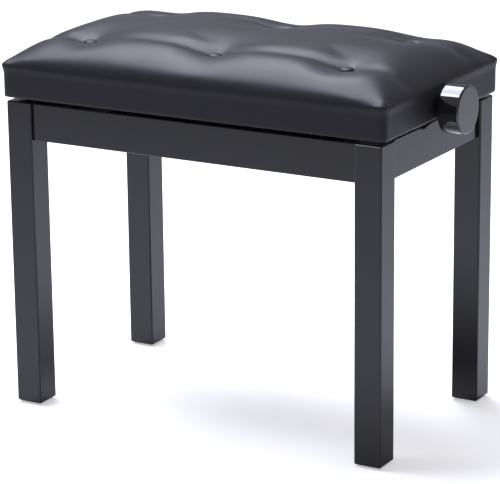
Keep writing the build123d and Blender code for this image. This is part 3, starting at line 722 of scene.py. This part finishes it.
smudges = make_smudges()
dust = make_dust()
edge_mask = make_edge_mask()
leather_grain = make_leather_grain()
wood_grain = make_wood_grain()


# ---------------------------------------------------------------- finishes
def material(name, **values):
    """Material with one Principled shader, whose even values are set on its own sockets."""
    made = bpy.data.materials.new(name)
    made.use_nodes = True
    shader = made.node_tree.nodes["Principled BSDF"]
    for socket, value in values.items():
        shader.inputs[socket.replace("_", " ")].default_value = value
    return made, made.node_tree, shader


def use(tree, group, **values):
    """Place a shared node group with its own input values."""
    node = tree.nodes.new("ShaderNodeGroup")
    node.node_tree = group
    for name, value in values.items():
        node.inputs[name].default_value = value
    return node


def ramp(tree, mask, low, high):
    """Map a mask from 0..1 to a range of values."""
    node = tree.nodes.new("ShaderNodeMapRange")
    tree.links.new(mask, node.inputs["Value"])
    node.inputs["To Min"].default_value = low
    node.inputs["To Max"].default_value = high
    return node.outputs[0]


def vary(tree, shader, socket, mask, low, high):
    """Let one of the shader's values change between two limits with a mask."""
    tree.links.new(ramp(tree, mask, low, high), shader.inputs[socket])


def blend_colors(tree, mask, low, high):
    """Mix two colours, each a colour or a socket, by a mask."""
    node = tree.nodes.new("ShaderNodeMix")
    node.data_type = "RGBA"
    tree.links.new(mask, node.inputs["Factor"])
    for index, value in ((MIX_A, low), (MIX_B, high)):
        if isinstance(value, tuple):
            node.inputs[index].default_value = (*value, 1)
        else:
            tree.links.new(value, node.inputs[index])
    return node.outputs[MIX_RESULT]


def bump(tree, shader, height, strength, distance):
    """Feed a height to the shader's normal."""
    node = tree.nodes.new("ShaderNodeBump")
    node.inputs["Strength"].default_value = strength
    node.inputs["Distance"].default_value = distance
    tree.links.new(height, node.inputs["Height"])
    tree.links.new(node.outputs[0], shader.inputs["Normal"])


def noise_height(tree, scale, detail=2.0):
    """Plain noise on the object's own coordinates, for a bump."""
    place = tree.nodes.new("ShaderNodeTexCoord")
    noise = put(tree, "ShaderNodeTexNoise", Scale=scale, Detail=detail)
    tree.links.new(place.outputs["Object"], noise.inputs["Vector"])
    return noise.outputs["Fac"]


def lacquer():
    """Black polyester lacquer: deep gloss with a faint orange peel, dust and softly worn edges."""
    made, tree, shader = material("black_lacquer", Specular_IOR_Level=0.44)
    patches = use(tree, smudges, Scale=7.0, Contrast=1.4)
    specks = use(tree, dust, Amount=0.35)
    edges = use(tree, edge_mask, Amount=0.5)
    base = blend_colors(tree, patches.outputs[0], (0.0045, 0.0045, 0.006), (0.008, 0.008, 0.010))
    worn = blend_colors(tree, edges.outputs[0], base, (0.03, 0.03, 0.033))
    dusty = blend_colors(tree, specks.outputs[0], worn, (0.16, 0.16, 0.16))
    tree.links.new(dusty, shader.inputs["Base Color"])
    rough = ramp(tree, patches.outputs[0], 0.05, 0.14)
    rougher = math_node(tree, "ADD", rough, math_node(tree, "MULTIPLY", specks.outputs[0], 0.5))
    tree.links.new(rougher, shader.inputs["Roughness"])
    bump(tree, shader, noise_height(tree, 160.0), 0.05, 0.6 * MM)
    return made


def leather():
    """Black leatherette: soft sheen, pebbled grain and slightly polished high spots."""
    made, tree, shader = material("seat_leather", Specular_IOR_Level=0.22)
    patches = use(tree, smudges, Scale=9.0, Contrast=1.6)
    grain = use(tree, leather_grain, Scale=1100.0)
    specks = use(tree, dust, Amount=0.12)
    base = blend_colors(tree, patches.outputs[0], (0.012, 0.012, 0.015), (0.017, 0.017, 0.021))
    pored = blend_colors(tree, grain.outputs["Pores"], base, (0.008, 0.008, 0.010))
    dusty = blend_colors(tree, specks.outputs[0], pored, (0.12, 0.12, 0.12))
    tree.links.new(dusty, shader.inputs["Base Color"])
    vary(tree, shader, "Roughness", patches.outputs[0], 0.34, 0.46)
    bump(tree, shader, grain.outputs["Height"], 0.22, 0.25 * MM)
    return made


def foam_finish():
    """Cream polyurethane foam with open cells."""
    made, tree, shader = material("cushion_foam", Roughness=0.95, Subsurface_Weight=0.08)
    patches = use(tree, smudges, Scale=20.0, Contrast=1.0)
    base = blend_colors(tree, patches.outputs[0], (0.72, 0.62, 0.38), (0.80, 0.72, 0.50))
    tree.links.new(base, shader.inputs["Base Color"])
    cells = put(tree, "ShaderNodeTexVoronoi", Scale=1400.0)
    place = tree.nodes.new("ShaderNodeTexCoord")
    tree.links.new(place.outputs["Object"], cells.inputs["Vector"])
    bump(tree, shader, cells.outputs["Distance"], 0.6, 0.5 * MM)
    return made


def wood(name, direction, light, dark, roughness):
    """Wood whose grain follows the board's length, bare for the dowels; the near-black tones of the
    seat's frame and boards are painted shade.
    """
    made, tree, shader = material(name, Specular_IOR_Level=0.35)
    grain = use(tree, wood_grain, Direction=direction, Light=(*light, 1), Dark=(*dark, 1))
    edges = use(tree, edge_mask, Amount=0.4)
    worn = blend_colors(tree, edges.outputs[0], grain.outputs["Color"], tuple(1.15 * c for c in light))
    tree.links.new(worn, shader.inputs["Base Color"])
    patches = use(tree, smudges, Scale=15.0, Contrast=1.0)
    vary(tree, shader, "Roughness", patches.outputs[0], roughness - 0.08, roughness + 0.08)
    bump(tree, shader, grain.outputs["Height"], 0.25, 0.4 * MM)
    return made


def black_steel():
    """Satin black powder coat on steel, rubbed a little at the edges."""
    made, tree, shader = material("black_steel", Specular_IOR_Level=0.5)
    patches = use(tree, smudges, Scale=18.0, Contrast=1.3)
    edges = use(tree, edge_mask, Amount=0.55)
    specks = use(tree, dust, Amount=0.3)
    base = blend_colors(tree, patches.outputs[0], (0.014, 0.014, 0.015), (0.024, 0.024, 0.026))
    worn = blend_colors(tree, edges.outputs[0], base, (0.10, 0.10, 0.105))
    dusty = blend_colors(tree, specks.outputs[0], worn, (0.2, 0.2, 0.19))
    tree.links.new(dusty, shader.inputs["Base Color"])
    vary(tree, shader, "Roughness", patches.outputs[0], 0.38, 0.52)
    bump(tree, shader, noise_height(tree, 1500.0), 0.18, 0.2 * MM)
    return made


def zinc():
    """Bright zinc plate with fine drawing marks and duller patches."""
    made, tree, shader = material("zinc_steel")
    patches = use(tree, smudges, Scale=60.0, Contrast=1.5)
    edges = use(tree, edge_mask, Amount=0.6)
    base = blend_colors(tree, patches.outputs[0], (0.42, 0.43, 0.46), (0.62, 0.63, 0.64))
    worn = blend_colors(tree, edges.outputs[0], base, (0.78, 0.78, 0.77))
    tree.links.new(worn, shader.inputs["Base Color"])
    vary(tree, shader, "Metallic", edges.outputs[0], 1.0, 0.96)
    vary(tree, shader, "Roughness", patches.outputs[0], 0.24, 0.42)
    bump(tree, shader, noise_height(tree, 2400.0, 3.0), 0.12, 0.1 * MM)
    return made


def knob_plastic():
    """Polished black phenolic with a trace of moulding waviness."""
    made, tree, shader = material("knob_plastic", Specular_IOR_Level=0.85)
    patches = use(tree, smudges, Scale=25.0, Contrast=1.2)
    edges = use(tree, edge_mask, Amount=0.25)
    base = blend_colors(tree, patches.outputs[0], (0.005, 0.005, 0.006), (0.009, 0.009, 0.010))
    worn = blend_colors(tree, edges.outputs[0], base, (0.05, 0.05, 0.055))
    tree.links.new(worn, shader.inputs["Base Color"])
    vary(tree, shader, "Roughness", patches.outputs[0], 0.04, 0.12)
    bump(tree, shader, noise_height(tree, 220.0), 0.03, 0.4 * MM)
    return made


def moulded(name, low, high, rough_low, rough_high, scale):
    """Matt moulded plastic with a fine eroded texture."""
    made, tree, shader = material(name, Specular_IOR_Level=0.45)
    patches = use(tree, smudges, Scale=scale, Contrast=1.2)
    edges = use(tree, edge_mask, Amount=0.4)
    base = blend_colors(tree, patches.outputs[0], low, high)
    worn = blend_colors(tree, edges.outputs[0], base, tuple(min(1.3 * c, 1) for c in high))
    tree.links.new(worn, shader.inputs["Base Color"])
    vary(tree, shader, "Roughness", patches.outputs[0], rough_low, rough_high)
    bump(tree, shader, noise_height(tree, 1800.0), 0.2, 0.2 * MM)
    return made


# near-black pine and plywood tones, as painted shade: the frame and boards under the seat stand in for
# the dark shade in the gap between seat and aprons
pine_light_painted_shade, pine_dark_painted_shade = (0.040, 0.034, 0.029), (0.016, 0.014, 0.013)
ply_light_painted_shade, ply_dark_painted_shade = (0.046, 0.039, 0.033), (0.020, 0.018, 0.016)
along_x, along_y = (0.05, 1.0, 1.0), (1.0, 0.05, 1.0)
finishes = {
    "black_lacquer": lacquer(),
    "seat_leather": leather(),
    "cushion_foam": foam_finish(),
    "frame_wood": wood("frame_wood", along_x, pine_light_painted_shade, pine_dark_painted_shade, 0.6),
    "end_board_wood": wood("end_board_wood", along_y, pine_light_painted_shade, pine_dark_painted_shade, 0.6),
    "board_plywood": wood("board_plywood", along_x, ply_light_painted_shade, ply_dark_painted_shade, 0.65),
    "dowel_wood": wood("dowel_wood", (1.0, 1.0, 1.0), (0.66, 0.5, 0.3), (0.5, 0.34, 0.18), 0.6),
    "black_steel": black_steel(),
    "zinc_steel": zinc(),
    "knob_plastic": knob_plastic(),
    "bush_nylon": moulded("bush_nylon", (0.62, 0.60, 0.54), (0.72, 0.70, 0.63), 0.35, 0.5, 40.0),
    "glide_plastic": moulded("glide_plastic", (0.03, 0.03, 0.03), (0.05, 0.05, 0.05), 0.45, 0.6, 60.0),
}

own_wood = {
    "seat_frame_left": "end_board_wood",
    "seat_frame_right": "end_board_wood",
    "seat_board": "board_plywood",
}
for name, node in nodes.items():
    for slot in node.material_slots:
        slot_name = slot.material.name.split(".")[0]
        slot.material = finishes[own_wood.get(name, slot_name)]


def finish_piece(piece, body, slot_name):
    """Give a new piece its finish, its slot and the body it rides on."""
    piece.data.materials.clear()
    piece.data.materials.append(finishes[slot_name])
    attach(piece, body)


finish_piece(cover, "seat", "seat_leather")
finish_piece(foam, "seat", "cushion_foam")
finish_piece(covered_buttons, "seat", "seat_leather")
finish_piece(cover_staples, "seat", "zinc_steel")
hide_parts("seat_cover")
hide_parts("seat_foam")
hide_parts("seat_buttons")


# ---------------------------------------------------------------- floor, light and camera
floor_extra = 0.45             # how much brighter the floor looks than it lights
world_light = 0.42             # what the backdrop gives the bench
world_extra = 0.65             # and how much brighter it looks
cool_light = (0.84, 0.86, 1.0)

bpy.ops.object.select_all(action="DESELECT")
bpy.ops.mesh.primitive_plane_add(size=40, location=(0, 0, 0))
floor = bpy.context.object
floor.name = "studio_floor"
floor_finish, floor_tree, floor_shader = material("studio_floor", Roughness=0.9, Specular_IOR_Level=0.1)
floor_patches = use(floor_tree, smudges, Scale=0.8, Contrast=0.5)
floor_color = blend_colors(floor_tree, floor_patches.outputs[0], (0.86, 0.86, 0.86), (0.88, 0.88, 0.88))
floor_tree.links.new(floor_color, floor_shader.inputs["Base Color"])
seen = floor_tree.nodes.new("ShaderNodeLightPath")
floor_shader.inputs["Emission Color"].default_value = (1, 1, 1, 1)
floor_glow = math_node(floor_tree, "MULTIPLY", seen.outputs["Is Camera Ray"], floor_extra)
floor_tree.links.new(floor_glow, floor_shader.inputs["Emission Strength"])
floor.data.materials.append(floor_finish)

world = bpy.data.worlds.new("studio")
scene.world = world
world.use_nodes = True
world.node_tree.nodes["Background"].inputs["Color"].default_value = (0.90, 0.90, 1.0, 1)
world_seen = world.node_tree.nodes.new("ShaderNodeLightPath")
world_glow = math_node(world.node_tree, "MULTIPLY", world_seen.outputs["Is Camera Ray"], world_extra)
world_strength = math_node(world.node_tree, "ADD", world_glow, world_light)
world.node_tree.links.new(world_strength, world.node_tree.nodes["Background"].inputs["Strength"])


def softbox(name, target, direction, distance, size, power):
    """Rectangular soft light that stands off from a point and looks at it."""
    light = bpy.data.lights.new(name, "AREA")
    light.shape = "RECTANGLE"
    light.size, light.size_y = size
    light.energy = power
    light.color = cool_light
    stand = bpy.data.objects.new(name, light)
    scene.collection.objects.link(stand)
    way = Vector(direction).normalized()
    stand.location = Vector(target) + way * distance
    stand.rotation_euler = (-way).to_track_quat("-Z", "Y").to_euler()


middle = (0, 0, (seat_bottom + seat_top) / 2)
knob_middle = (knob_low + knob_high) / 2
softbox("window_light", knob_middle, (-0.48, -0.276, 0.83), 1.7, (0.42, 0.34), 8)
softbox("top_light", middle, (-0.42, 0.22, 1.0), 2.4, (2.1, 1.8), 130)

view_azimuth = math.radians(30.0)
view_elevation = math.radians(16.04)
view_roll = math.radians(-0.63)
view_distance = 3.318
view_target = Vector((-0.0017, -0.001, 0.2166))
camera_data = bpy.data.cameras.new("camera")
camera_data.lens = 182.9
camera_data.sensor_width = 36
camera_data.clip_end = 60
camera = bpy.data.objects.new("camera", camera_data)
scene.collection.objects.link(camera)
toward_camera = Vector(
    (
        math.sin(view_azimuth) * math.cos(view_elevation),
        -math.cos(view_azimuth) * math.cos(view_elevation),
        math.sin(view_elevation),
    )
)
camera.location = view_target + toward_camera * view_distance
aim = (-toward_camera).to_track_quat("-Z", "Y") @ Quaternion((0, 0, 1), view_roll)
camera.rotation_euler = aim.to_euler()
scene.camera = camera
scene.view_settings.view_transform = "Standard"
